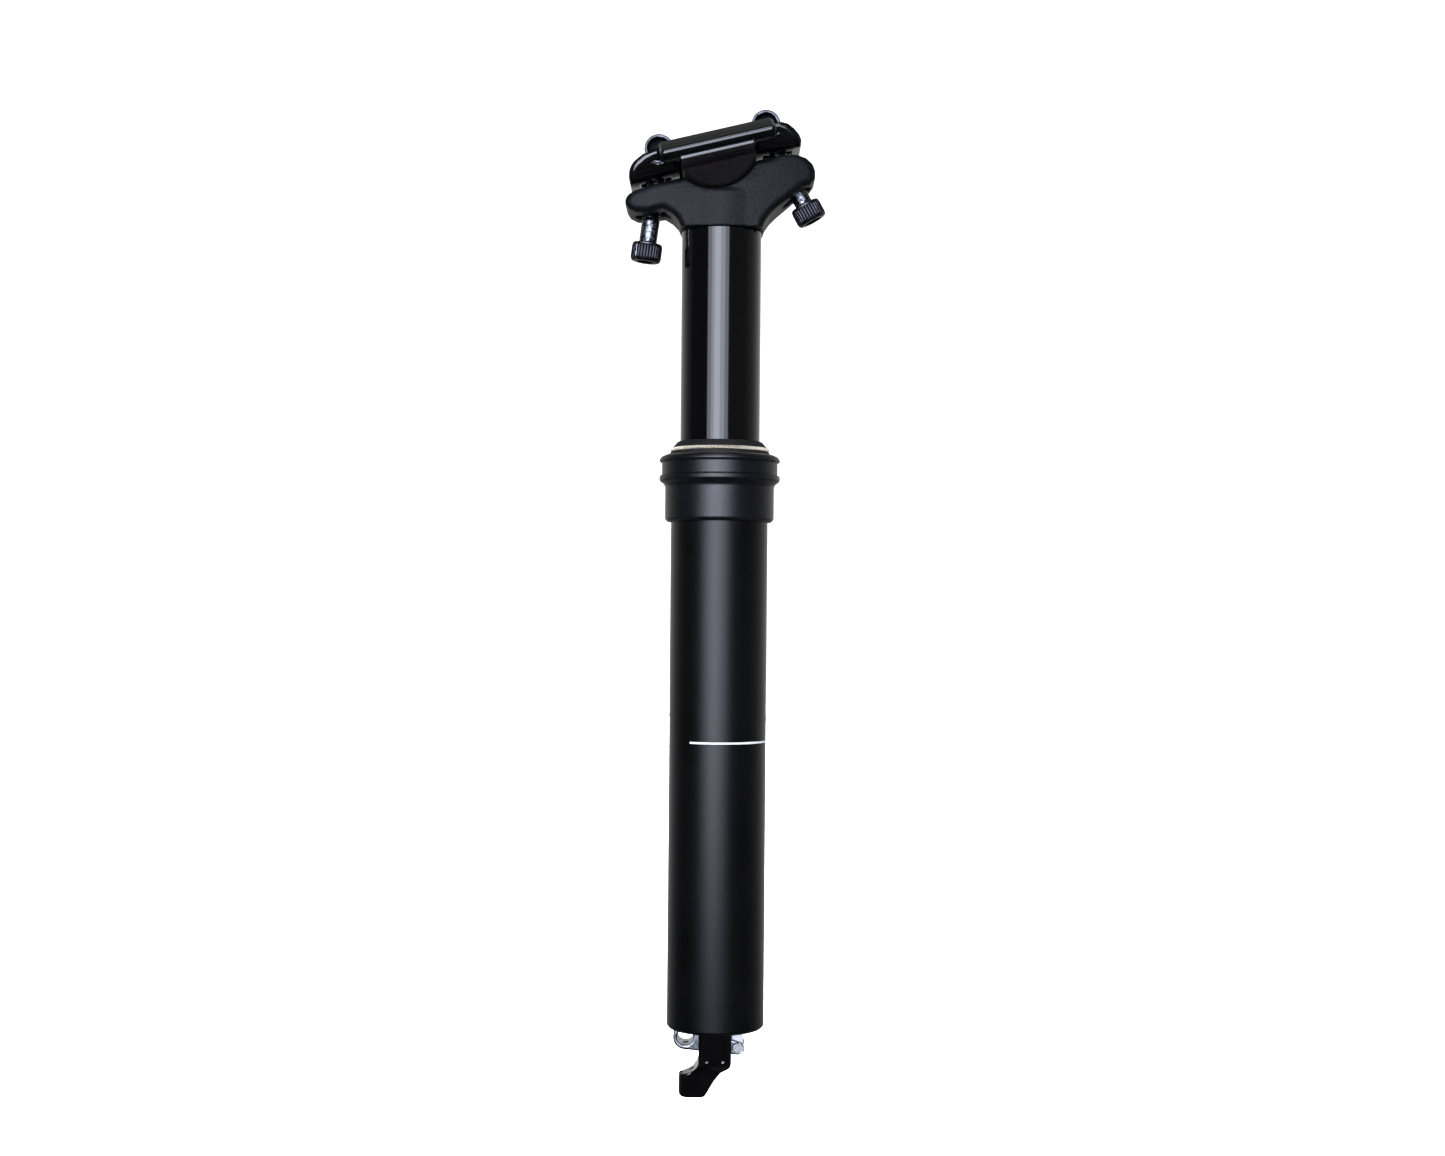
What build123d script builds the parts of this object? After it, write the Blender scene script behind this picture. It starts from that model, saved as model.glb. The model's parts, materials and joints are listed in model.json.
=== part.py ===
from build123d import *
from math import cos, radians, sin, sqrt, tan
import os

# A cable-operated height-adjustable bicycle seatpost with a two-bolt saddle clamp.
# Millimetres. +Z up the post, +X to the rear of the bicycle, +Y to its left side.
# The origin is on the post's axis, on the collar's shoulder that rests on the frame's seat tube.

# outer tube, the part that is clamped in the frame
TUBE_R = 15.8
TUBE_BORE_R = 14.4
TUBE_BOTTOM = -164.2
NECK_R = 15.2
NECK_TOP = 10.0
MOUTH_R = 14.7
MOUTH_DEPTH = 4.2
GROOVE_LOW = -154.0
GROOVE_HIGH = -26.0

# stanchion, the sliding tube
STANCHION_R = 13.0
STANCHION_BORE_R = 11.0
STANCHION_LOW = -84.0
HEAD_FOOT = 95.0
RUNNING_GAP = 0.05
KEY_R = 1.25
KEY_CENTRE_R = 13.6
KEY_LOW = -70.0
KEY_HIGH = -62.0
KEY_COUNT = 4

# collar and the seals in it
COLLAR_R = 17.8
FLANGE_R = 19.7
BAND_R = 18.9
COLLAR_TOP = 22.0
POCKET_R = 16.0
POCKET_LOW = 12.0
WIPER_LOW = 17.6
WIPER_TOP = 26.3
GARTER_R = 15.4
GARTER_Z = 23.5
GARTER_WIRE_R = 0.42
ROLLER_R = 1.0
ROLLER_COUNT = 30

# damper cartridge
CYLINDER_R = 10.6
CYLINDER_BORE_R = 9.5
CYLINDER_LOW = -82.0
CYLINDER_TOP = 77.6
SEAL_HEAD_TOP = -68.0
CAP_LOW = 68.0
ROD_R = 5.0
ROD_BORE_R = 1.9
ROD_TOP = -34.0
SPRING_SEAT = -50.0
PISTON_TOP = -24.0
FLOAT_LOW = 40.0
FLOAT_TOP = 47.0
VALVE_ROD_R = 1.4
SPIGOT_R = 11.0
SPIGOT_LOW = 78.0
SPIGOT_BORE_R = 6.5

# bottom cap, release lever and cable bracket, measured down from the tube's lower edge
FOOT = TUBE_BOTTOM
CAP_TOP = FOOT + 9.7
CAP_BOTTOM = FOOT + 4.2
PIVOT_X = 7.5
PIVOT_Z = FOOT - 6.1
PIN_R = 1.25
LUG_R = 2.1
EYE_X = -9.6
EYE_Z = FOOT - 2.55
EYE_R = 4.0
EYE_BORE_R = 2.65
CHEEK_IN = 4.0
CHEEK_OUT = 5.2
PLATE_IN = 5.9
PLATE_OUT = 7.6
PLATE_HALF = 5.3
SLOT_DEPTH = 10.6
BOSS_X = -7.6
BOSS_R = 4.35
BOSS_LOW = FOOT - 22.3
HOUSING_R = 2.55
HOUSING_DEPTH = 5.5

# saddle clamp: s runs along the rails, n is square to them, both from the tilt centre
TILT = 13.3
CENTRE_X = -2.8
CENTRE_Z = 122.4
ROCKER_R = 15.0
SEAT_R = 15.1
HEAD_HALF = 12.0
RAIL_Y = 22.0
RAIL_N = -5.5
RAIL_R = 3.5
WING_Y = 26.5
RAIL_HALF = 19.0
CRADLE_HALF = 12.0
NUT_S = 17.7
NUT_N = 1.8
NUT_R = 4.7
NUT_HALF = 11.0
BOLT_R = 2.95
FRONT_REACH = 29.2
REAR_REACH = 27.3
BOLT_LENGTH = 30.0
BOLT_HEAD_R = 5.0
BOLT_HEAD_H = 6.0
FRONT_SPLAY = 20.8
REAR_SPLAY = 15.2

LOW = (Align.CENTER, Align.CENTER, Align.MIN)
CLAMP = Plane(origin=(CENTRE_X, 0, CENTRE_Z), x_dir=(cos(radians(TILT)), 0, sin(radians(TILT))), z_dir=(0, -1, 0))


def rod(radius, z_low, z_high, x=0, y=0):
    """A plain round bar parallel to the post's axis."""
    return Pos(x, y, z_low) * Cylinder(radius, z_high - z_low, align=LOW)


def sleeve(r_out, r_in, z_low, z_high):
    """A plain tube or ring about the post's axis."""
    return rod(r_out, z_low, z_high) - rod(r_in, z_low - 1, z_high + 1)


def turned(*profile):
    """A turned piece from the (radius, z) corners of its half section."""
    outline = Polyline(*[(r, 0, z) for r, z in profile], close=True)
    return revolve(make_face(outline), Axis.Z)


def o_ring(radius, cord_r, z):
    """A rubber ring of round cord."""
    return Pos(0, 0, z) * Torus(radius, cord_r)


def block(x_low, x_high, y_low, y_high, z_low, z_high):
    """A box by its limits."""
    size = (x_high - x_low, y_high - y_low, z_high - z_low)
    corner = (Align.MIN, Align.MIN, Align.MIN)
    return Pos(x_low, y_low, z_low) * Box(*size, align=corner)


def cross_bar(radius, half, x, z):
    """A round bar along Y through (x, z)."""
    return Pos(x, 0, z) * Rot(90, 0, 0) * Cylinder(radius, 2 * half)


def side_plate(outline, half):
    """A closed outline in the XZ plane, made 2 * half thick along Y."""
    return extrude(make_face(outline), amount=half, dir=(0, 1, 0), both=True)


def clamp_point(s, n, y=0):
    """A place in the clamp's tilted frame, in the post's frame."""
    tilt = radians(TILT)
    return (CENTRE_X + s * cos(tilt) - n * sin(tilt), y, CENTRE_Z + s * sin(tilt) + n * cos(tilt))


def clamp_bar(radius, half, s, n):
    """A round bar along Y through a place in the clamp's frame."""
    x, _, z = clamp_point(s, n)
    return cross_bar(radius, half, x, z)


def clamp_plate(points, half):
    """A polygon in the clamp's side view, 2 * half thick along Y."""
    return side_plate(Polyline(*[clamp_point(s, n) for s, n in points], close=True), half)


def clamp_box(s_low, s_high, n_low, n_high, half):
    """A box square to the clamp's frame."""
    return clamp_plate([(s_low, n_low), (s_high, n_low), (s_high, n_high), (s_low, n_high)], half)


def along_rails(points, half):
    """A (y, n) cross section run 2 * half along the rails."""
    outline = Polyline(*[clamp_point(-half, n, y) for y, n in points], close=True)
    direction = Vector(*clamp_point(1, 0)) - Vector(*clamp_point(0, 0))
    return extrude(make_face(outline), amount=2 * half, dir=direction)


def rail_bars(radius, half):
    """The space of both saddle rails."""
    bars = []
    for side in (-1, 1):
        centre = Vector(*clamp_point(0, RAIL_N, side * RAIL_Y))
        place = Location(Plane(origin=centre, z_dir=Vector(*clamp_point(1, 0)) - Vector(*clamp_point(0, 0))))
        bars.append(place * Cylinder(radius, 2 * half))
    return bars


def bolt_frame(side):
    """A plane at a nut's centre whose normal runs up its bolt's axis."""
    splay = FRONT_SPLAY if side < 0 else REAR_SPLAY
    lean = radians(TILT + side * splay)
    axis_up = Vector(-sin(lean), 0, cos(lean))
    return Plane(origin=clamp_point(side * NUT_S, NUT_N), x_dir=(0, 1, 0), z_dir=axis_up)


def outer_tube():
    tube = turned(
        (TUBE_BORE_R, NECK_TOP), (NECK_R, NECK_TOP), (NECK_R, 0), (TUBE_R, 0),
        (TUBE_R, FOOT + 1.2), (TUBE_R - 0.35, FOOT + 0.35), (TUBE_R - 1.1, FOOT),
        (MOUTH_R, FOOT), (MOUTH_R, FOOT + MOUTH_DEPTH), (TUBE_BORE_R, FOOT + MOUTH_DEPTH),
    )
    for place in PolarLocations(KEY_CENTRE_R, KEY_COUNT, 45):
        tube -= place * rod(KEY_R + 0.07, GROOVE_LOW, GROOVE_HIGH)
    return tube


def collar():
    sleeve_top = 11.4
    outline = [
        (NECK_R, 0.7), (TUBE_R + 0.1, 0), (COLLAR_R - 0.8, 0), (COLLAR_R, 0.8), (COLLAR_R, sleeve_top),
        (COLLAR_R + 0.5, sleeve_top + 1.0), (FLANGE_R - 0.3, 13.2), (FLANGE_R, 13.5), (FLANGE_R, 14.9),
        (FLANGE_R - 0.3, 15.2), (BAND_R, 15.2), (BAND_R, 19.4), (FLANGE_R - 0.4, 19.4),
        (FLANGE_R, 19.8), (FLANGE_R, 20.4), (FLANGE_R - 0.6, 21.2), (17.6, 21.9), (16.7, COLLAR_TOP),
        (POCKET_R, COLLAR_TOP), (POCKET_R, POCKET_LOW), (13.8, POCKET_LOW), (13.8, 11.0), (NECK_R, 11.0),
    ]
    return turned(*outline)


def dust_wiper():
    lip_r = STANCHION_R + RUNNING_GAP
    rubber = turned(
        (lip_r + 0.6, WIPER_LOW), (POCKET_R, WIPER_LOW), (POCKET_R, COLLAR_TOP), (16.4, COLLAR_TOP + 0.1),
        (16.2, 22.7), (GARTER_R, 23.1), (GARTER_R, 24.0), (15.1, 24.4), (13.6, WIPER_TOP - 0.1),
        (lip_r + 0.2, WIPER_TOP), (lip_r, WIPER_TOP - 0.4), (lip_r, 25.0), (lip_r + 0.6, 24.0),
    )
    return rubber - o_ring(GARTER_R, GARTER_WIRE_R, GARTER_Z)


def roller_bearing_cup():
    lip_r = STANCHION_R + 0.4
    return turned(
        (POCKET_R, POCKET_LOW), (POCKET_R, WIPER_LOW), (lip_r, WIPER_LOW), (lip_r, WIPER_LOW - 0.3),
        (15.2, WIPER_LOW - 0.3), (15.2, POCKET_LOW + 0.3), (lip_r, POCKET_LOW + 0.3), (lip_r, POCKET_LOW),
    )


def needle_rollers():
    radius = STANCHION_R + RUNNING_GAP + ROLLER_R
    roller = rod(ROLLER_R, POCKET_LOW + 0.4, WIPER_LOW - 0.4)
    return Compound([place * roller for place in PolarLocations(radius, ROLLER_COUNT)])


def stanchion():
    tube = sleeve(STANCHION_R, STANCHION_BORE_R, STANCHION_LOW, HEAD_FOOT)
    tube -= sleeve(STANCHION_BORE_R + 0.45, 9, CYLINDER_LOW - 1.4, CYLINDER_LOW - 0.2)
    for place in PolarLocations(KEY_CENTRE_R, KEY_COUNT, 45):
        tube -= place * rod(KEY_R, KEY_LOW, KEY_HIGH)
    return tube


def guide_keys():
    key = rod(KEY_R, KEY_LOW, KEY_HIGH)
    return Compound([place * key for place in PolarLocations(KEY_CENTRE_R, KEY_COUNT, 45)])


def head_outline():
    """The head's side view: an ear to each side of the neck, and a flat top."""
    neck_low = 93.6
    front_low = clamp_point(-29.2, -15.6)
    front_high = clamp_point(-28.4, -9.6)
    front_end = clamp_point(-32.3, -12.6)
    rear_high = clamp_point(24.0, -9.2)
    rear_end = clamp_point(30.2, -15.0)
    rear_low = clamp_point(27.0, -19.6)
    front_arc = ThreePointArc((-STANCHION_R, 0, neck_low), (-14.6, 0, 98.2), (-18.8, 0, 100.6))
    front_under = Line((-18.8, 0, 100.6), front_low)
    front_nose = ThreePointArc(front_low, front_end, front_high)
    top = Line(front_high, rear_high)
    rear_nose = ThreePointArc(rear_high, rear_end, rear_low)
    rear_under = Line(rear_low, (17.6, 0, 101.4))
    rear_arc = ThreePointArc((17.6, 0, 101.4), (14.1, 0, 98.0), (STANCHION_R, 0, neck_low))
    base = Line((STANCHION_R, 0, neck_low), (-STANCHION_R, 0, neck_low))
    return Curve([front_arc, front_under, front_nose, top, rear_nose, rear_under, rear_arc, base])


def ear_slot(side):
    """The way of a bolt through its ear over the clamp's whole tilt."""
    width = 3.6
    reach = (-26.2, -22.2) if side < 0 else (21.0, 24.5)
    slot = clamp_box(reach[0], reach[1], -30, -5, width)
    for s in reach:
        base = Vector(*clamp_point(s, -30))
        up = Vector(*clamp_point(0, 1)) - Vector(*clamp_point(0, 0))
        slot += Location(Plane(origin=base, z_dir=up)) * Cylinder(width, 25, align=LOW)
    return slot


def head():
    body = side_plate(head_outline(), HEAD_HALF)
    body -= block(-40, 40, -20, 20, 80, HEAD_FOOT)
    body += rod(STANCHION_R, HEAD_FOOT, 104)
    body -= clamp_bar(SEAT_R, 20, 0, 0)
    body += rod(SPIGOT_R, SPIGOT_LOW, HEAD_FOOT)
    body -= rod(SPIGOT_BORE_R, SPIGOT_LOW - 1, 112)
    for side in (-1, 1):
        body -= ear_slot(side)
    return body


def lower_clamp():
    side_view = clamp_bar(ROCKER_R, 40, 0, 0) & clamp_box(-CRADLE_HALF, CRADLE_HALF, -20, -6.2, 40)
    section = [(-WING_Y, -6.2), (-WING_Y, -8.6), (-13.5, -ROCKER_R - 0.2)]
    section += [(-y, n) for y, n in reversed(section)]
    cradle = side_view & along_rails(section, 20)
    for bar in rail_bars(RAIL_R, 30):
        cradle -= bar
    return cradle - clamp_box(-6.5, 6.5, -20, 0, 8)


def upper_clamp():
    nose_front = [(-28.9, -7.0), (-28.6, -3.0), (-26.6, 0.2), (-23.0, 2.2)]
    nose_rear = [(24.4, 1.8), (27.4, -1.6), (29.0, -5.2), (28.2, -6.6)]
    spine = nose_front + [(-10, 1.0), (10, 1.0)] + nose_rear
    spine += [(18.6, -6.6), (17.2, -4.0), (11, -3.0), (-11, -3.0), (-17.2, -4.0), (-18.4, -7.0)]
    top = clamp_plate(spine, 12.5)
    half_section = [(WING_Y, -5.0), (WING_Y, -2.9), (24.0, -0.6), (19.5, 0.8), (11.0, 1.0)]
    wings = half_section + [(-y, n) for y, n in reversed(half_section)]
    wings += [(-17.5, -5.0), (-16.5, -3.0), (16.5, -3.0), (17.5, -5.0)]
    top += along_rails(wings, RAIL_HALF)
    for bar in rail_bars(RAIL_R, 30):
        top -= bar
    top -= clamp_box(-8.0, 8.0, -8, 6, 9)
    for side in (-1, 1):
        top -= clamp_bar(NUT_R + 0.08, NUT_HALF + 0.3, side * NUT_S, NUT_N)
        way = Pos(0, 0, -7) * Box(6.8, 9.2, 14)
        top -= bolt_frame(side).location * way
    return top


def barrel_nut(side):
    frame = bolt_frame(side)
    nut = clamp_bar(NUT_R, NUT_HALF, side * NUT_S, NUT_N)
    for end in (-1, 1):
        recess = clamp_bar(NUT_R - 1.0, 2.6, side * NUT_S, NUT_N)
        nut -= Pos(0, end * (NUT_HALF - 2.0), 0) * recess
    return nut - frame.location * Cylinder(BOLT_R + RUNNING_GAP, 12)


def clamp_bolt(side):
    frame = bolt_frame(side).location
    reach = FRONT_REACH if side < 0 else REAR_REACH
    shank = frame * Pos(0, 0, -reach) * Cylinder(BOLT_R, BOLT_LENGTH, align=LOW)
    cap = Cylinder(BOLT_HEAD_R, BOLT_HEAD_H, align=LOW)
    cap = chamfer(cap.edges().group_by(Axis.Z)[0], 0.5)
    cap -= extrude(RegularPolygon(2.5, 6, major_radius=False), amount=3.2)
    return shank + frame * Pos(0, 0, -reach - BOLT_HEAD_H) * cap


def seal_head():
    return turned(
        (ROD_R + 0.06, CYLINDER_LOW), (CYLINDER_BORE_R, CYLINDER_LOW), (CYLINDER_BORE_R, SEAL_HEAD_TOP),
        (ROD_R + 0.06, SEAL_HEAD_TOP), (ROD_R + 0.06, -72.0), (6.6, -72.0), (6.6, -74.0), (ROD_R + 0.06, -74.0),
    )


def piston_rod():
    thread_r = 4.0
    return turned(
        (ROD_BORE_R, FOOT + 1.0), (thread_r, FOOT + 1.0), (thread_r, CAP_BOTTOM), (ROD_R, CAP_BOTTOM),
        (ROD_R, ROD_TOP), (3.6, ROD_TOP), (3.6, SPRING_SEAT), (ROD_BORE_R, SPRING_SEAT),
    )


def main_piston():
    return turned(
        (2.4, ROD_TOP), (9.42, ROD_TOP), (9.42, -31.0), (8.2, -31.0),
        (8.2, -28.4), (9.42, -28.4), (9.42, PISTON_TOP), (2.4, PISTON_TOP),
    )


def floating_piston():
    middle = (FLOAT_LOW + FLOAT_TOP) / 2
    return turned(
        (0, FLOAT_LOW), (9.44, FLOAT_LOW), (9.44, middle - 0.8), (8.0, middle - 0.8),
        (8.0, middle + 0.8), (9.44, middle + 0.8), (9.44, FLOAT_TOP), (5, FLOAT_TOP), (5, middle + 1.2),
        (0, middle + 1.2),
    )


def cylinder_cap():
    return turned(
        (4.0, CAP_LOW), (CYLINDER_BORE_R, CAP_LOW), (CYLINDER_BORE_R, 71.0), (8.0, 71.0),
        (8.0, 72.6), (CYLINDER_BORE_R, 72.6), (CYLINDER_BORE_R, CYLINDER_TOP), (4.0, CYLINDER_TOP),
    )


def bottom_cap():
    disc = turned(
        (ROD_R, CAP_BOTTOM), (TUBE_BORE_R, CAP_BOTTOM), (TUBE_BORE_R, CAP_TOP - 3.4), (13.0, CAP_TOP - 3.4),
        (13.0, CAP_TOP - 1.8), (TUBE_BORE_R, CAP_TOP - 1.8), (TUBE_BORE_R, CAP_TOP), (ROD_R, CAP_TOP),
    )
    root = [(5.2, CAP_BOTTOM), (8.4, CAP_BOTTOM), (9.3, PIVOT_Z), (5.7, PIVOT_Z)]
    lug = side_plate(Polyline(*[(x, 0, z) for x, z in root], close=True), 3.7)
    lug += cross_bar(1.9, 3.7, PIVOT_X, PIVOT_Z)
    disc += lug
    disc -= cross_bar(PIN_R, 10, PIVOT_X, PIVOT_Z)
    for side in (-1, 1):
        disc -= rod(1.5, CAP_BOTTOM - 1, CAP_BOTTOM + 4.5, 0, side * 11.0)
    return disc


def bracket_outline():
    """Side view of the bracket: a plate, and a hooked arm down to the housing stop."""
    top = CAP_BOTTOM - 1.5
    lip = (-11.7, 0, FOOT - 14.9)
    left = [(-PLATE_HALF, 0, FOOT - 10.6), (-PLATE_HALF, 0, top), (PLATE_HALF, 0, top), (PLATE_HALF, 0, FOOT - 10.4)]
    corner = (4.5, 0, FOOT - 12.5)
    heel = (-3.3, 0, BOSS_LOW)
    hook = ThreePointArc(lip, (-7.3, 0, FOOT - 13.8), left[0])
    plate = Polyline(*left)
    shoulder = ThreePointArc(left[3], (5.2, 0, FOOT - 11.6), corner)
    back = ThreePointArc(corner, (-0.35, 0, FOOT - 17.2), heel)
    base = Polyline(heel, (-11.95, 0, BOSS_LOW), (-11.95, 0, FOOT - 15.4), lip)
    return Curve([hook, plate, shoulder, back, base])


def cable_bracket():
    arm = side_plate(bracket_outline(), PLATE_OUT)
    slope = [(PLATE_OUT, FOOT - 11.2), (BOSS_R, FOOT - 14.2), (BOSS_R, FOOT - 40), (30, FOOT - 40), (30, FOOT - 11.2)]
    for side in (-1, 1):
        edge = Polyline(*[(-20, side * y, z) for y, z in slope], close=True)
        arm -= extrude(make_face(edge), amount=40, dir=(1, 0, 0))
    nose = rod(BOSS_R, FOOT - 30, FOOT, BOSS_X) + block(BOSS_X, 20, -20, 20, FOOT - 30, FOOT)
    arm &= nose + block(-PLATE_HALF, 20, -20, 20, FOOT - 30, FOOT + 10)
    arm -= block(-20, 20, -PLATE_IN, PLATE_IN, FOOT - SLOT_DEPTH, FOOT + 10)
    flange = sleeve(13.9, 10.8, CAP_BOTTOM - 1.5, CAP_BOTTOM)
    for side in (-1, 1):
        low, high = sorted((side * PLATE_IN, side * 12.5))
        tab = block(-PLATE_HALF, PLATE_HALF, low, high, CAP_BOTTOM - 1.5, CAP_BOTTOM)
        flange += tab
        flange -= rod(1.5, CAP_BOTTOM - 5, CAP_BOTTOM + 1, 0, side * 11.0)
        pocket_y = side * PLATE_OUT
        arm -= block(-2.75, 2.75, min(pocket_y, pocket_y - side * 0.5), max(pocket_y, pocket_y - side * 0.5),
                     FOOT - 10.0, FOOT - 1.0)
    bracket = arm + flange
    bracket -= rod(HOUSING_R, BOSS_LOW - 1, BOSS_LOW + HOUSING_DEPTH, BOSS_X)
    bracket -= rod(1.0, BOSS_LOW - 1, FOOT, BOSS_X)
    return bracket - block(-20, BOSS_X, -0.9, 0.9, BOSS_LOW - 1, FOOT)


def bracket_screws():
    screws = []
    for side in (-1, 1):
        screw = rod(1.5, CAP_BOTTOM - 1.5, CAP_BOTTOM + 4.5, 0, side * 11.0)
        button = rod(2.7, CAP_BOTTOM - 3.1, CAP_BOTTOM - 1.5, 0, side * 11.0)
        socket = extrude(Pos(0, side * 11.0, CAP_BOTTOM - 3.1) * RegularPolygon(1.0, 6, major_radius=False), amount=1.0)
        screws.append(screw + button - socket)
    return Compound(screws)


def release_lever():
    """Two cheeks on the pivot pin, joined by the eye for the cable's end and by a bridge over the valve rod."""
    length = sqrt((PIVOT_X - EYE_X) ** 2 + (PIVOT_Z - EYE_Z) ** 2)
    swing = (EYE_R - LUG_R) / length
    root = sqrt(1 - swing ** 2)
    ux, uz = (PIVOT_X - EYE_X) / length, (PIVOT_Z - EYE_Z) / length
    corners = []
    for side, first, last in ((1, EYE_R, LUG_R), (-1, LUG_R, EYE_R)):
        nx, nz = ux * swing - side * uz * root, uz * swing + side * ux * root
        eye = (EYE_X + nx * EYE_R, 0, EYE_Z + nz * EYE_R)
        lug = (PIVOT_X + nx * LUG_R, 0, PIVOT_Z + nz * LUG_R)
        corners += [eye, lug] if side > 0 else [lug, eye]
    web = side_plate(Polyline(*corners, close=True), CHEEK_OUT)
    cheek = web + cross_bar(EYE_R, CHEEK_OUT, EYE_X, EYE_Z) + cross_bar(LUG_R, CHEEK_OUT, PIVOT_X, PIVOT_Z)
    gap = block(-5.2, 20, -CHEEK_IN, CHEEK_IN, FOOT - 20, FOOT + 10)
    bridge = block(-2.2, 2.2, -CHEEK_IN, CHEEK_IN, FOOT - 5.6, FOOT - 3.4)
    lever = cheek - gap + bridge
    lever -= cross_bar(EYE_BORE_R, 10, EYE_X, EYE_Z)
    lever -= cross_bar(PIN_R + 0.07, 10, PIVOT_X, PIVOT_Z)
    lever -= rod(2.0, FOOT - 10, FOOT + 5)
    return lever - block(-20, EYE_X + 0.9, -0.9, 0.9, FOOT - 20, EYE_Z)


def valve_rod_nut():
    return sleeve(2.8, VALVE_ROD_R, FOOT - 8.0, FOOT - 5.9)


def valve_spring():
    turns_low = SPRING_SEAT + 0.45
    turns_high = -38.35
    path = Pos(0, 0, turns_low) * Helix(2.0, turns_high - turns_low, 2.8)
    section = Plane(origin=path @ 0, z_dir=path % 0) * Circle(0.4)
    return sweep(section, path)


def lever_pin_clip():
    clip = Pos(PIVOT_X, 5.6, PIVOT_Z) * Rot(90, 0, 0) * (Cylinder(2.2, 0.4) - Cylinder(PIN_R, 1))
    return clip - block(PIVOT_X - 0.9, PIVOT_X + 0.9, 0, 10, PIVOT_Z, PIVOT_Z + 5)


def lever_pin():
    return Pos(PIVOT_X, 0.4, PIVOT_Z) * Rot(90, 0, 0) * Cylinder(PIN_R, 11.2)


def air_valve_body():
    return sleeve(4.0, 2.6, CAP_LOW - 2, 90)


def valve_core():
    return rod(2.6, 78, 86) + rod(0.9, 86, 89)


def air_valve_cap():
    return rod(5.0, 84, 96) - rod(4.0, 83, 93)


def rod_nut():
    nut = extrude(Pos(0, 0, CAP_BOTTOM - 2.6) * RegularPolygon(5.0, 6, major_radius=False, rotation=30), amount=2.6)
    return nut - rod(4.0, CAP_BOTTOM - 5, CAP_BOTTOM + 1)


PIECES = {
    "outer_tube": outer_tube(),
    "collar": collar(),
    "collar_oring": o_ring(14.7, 0.48, 10.5),
    "dust_wiper": dust_wiper(),
    "wiper_garter_spring": o_ring(GARTER_R, GARTER_WIRE_R, GARTER_Z),
    "roller_bearing_cup": roller_bearing_cup(),
    "needle_rollers": needle_rollers(),
    "upper_bushing": sleeve(TUBE_BORE_R, STANCHION_R + RUNNING_GAP, -24, -2),
    "top_out_bumper": sleeve(TUBE_BORE_R, STANCHION_R + 0.3, GROOVE_HIGH - 0.5, -24),
    "bottom_cap": bottom_cap(),
    "bottom_cap_oring": o_ring(13.7, 0.68, CAP_TOP - 2.6),
    "bottom_out_bumper": sleeve(13.8, 9.5, CAP_TOP, CAP_TOP + 2.1),
    "piston_rod": piston_rod(),
    "rod_nut": rod_nut(),
    "main_piston": main_piston(),
    "piston_seal": sleeve(9.46, 8.2, -31.0, -28.4),
    "cable_bracket": cable_bracket(),
    "bracket_screws": bracket_screws(),
    "lever_pin": lever_pin(),
    "lever_pin_clip": lever_pin_clip(),
    "stanchion": stanchion(),
    "head": head(),
    "lower_bushing": sleeve(TUBE_BORE_R - 0.06, STANCHION_R, -83, -71),
    "guide_keys": guide_keys(),
    "damper_cylinder": sleeve(CYLINDER_R, CYLINDER_BORE_R, CYLINDER_LOW, CYLINDER_TOP),
    "cartridge_ring": sleeve(STANCHION_BORE_R + 0.4, 9.8, CYLINDER_LOW - 1.4, CYLINDER_LOW - 0.2),
    "seal_head": seal_head(),
    "rod_seal": sleeve(6.6, ROD_R + 0.03, -74.0, -72.0),
    "cylinder_cap": cylinder_cap(),
    "cylinder_cap_oring": o_ring(8.75, 0.72, 71.8),
    "air_valve_body": air_valve_body(),
    "valve_core": valve_core(),
    "air_valve_cap": air_valve_cap(),
    "floating_piston": floating_piston(),
    "floating_piston_oring": o_ring(8.74, 0.72, (FLOAT_LOW + FLOAT_TOP) / 2),
    "valve_rod": rod(VALVE_ROD_R, FOOT - 8.4, -38),
    "valve_poppet": turned((0, -38), (3.2, -38), (3.2, -35.6), (1.6, ROD_TOP - 0.1), (0, ROD_TOP - 0.1)),
    "valve_rod_nut": valve_rod_nut(),
    "valve_spring": valve_spring(),
    "release_lever": release_lever(),
    "lower_clamp": lower_clamp(),
    "upper_clamp": upper_clamp(),
    "front_barrel_nut": barrel_nut(-1),
    "rear_barrel_nut": barrel_nut(1),
    "front_bolt": clamp_bolt(-1),
    "rear_bolt": clamp_bolt(1),
}

os.makedirs("parts", exist_ok=True)
for name, piece in PIECES.items():
    export_step(piece, f"parts/{name}.step")
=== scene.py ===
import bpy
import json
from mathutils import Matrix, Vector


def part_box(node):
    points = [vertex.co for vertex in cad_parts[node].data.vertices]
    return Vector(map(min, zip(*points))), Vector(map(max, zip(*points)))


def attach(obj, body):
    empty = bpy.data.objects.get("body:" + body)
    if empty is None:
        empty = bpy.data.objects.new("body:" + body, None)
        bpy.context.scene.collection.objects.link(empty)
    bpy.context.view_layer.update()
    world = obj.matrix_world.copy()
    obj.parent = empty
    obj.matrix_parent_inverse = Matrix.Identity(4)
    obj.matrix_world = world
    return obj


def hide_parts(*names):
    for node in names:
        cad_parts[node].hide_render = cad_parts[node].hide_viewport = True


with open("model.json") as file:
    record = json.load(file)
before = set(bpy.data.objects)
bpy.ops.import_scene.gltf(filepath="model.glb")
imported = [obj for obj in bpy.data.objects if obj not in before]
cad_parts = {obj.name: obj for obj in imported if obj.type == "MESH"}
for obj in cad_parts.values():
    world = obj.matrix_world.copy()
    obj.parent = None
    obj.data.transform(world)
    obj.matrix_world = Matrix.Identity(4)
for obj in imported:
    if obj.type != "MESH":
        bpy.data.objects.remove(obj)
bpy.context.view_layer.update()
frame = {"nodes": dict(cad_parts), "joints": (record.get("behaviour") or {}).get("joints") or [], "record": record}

import json
from math import cos, pi, radians, sin

import bpy
import numpy as np
from mathutils import Matrix, Vector

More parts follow.
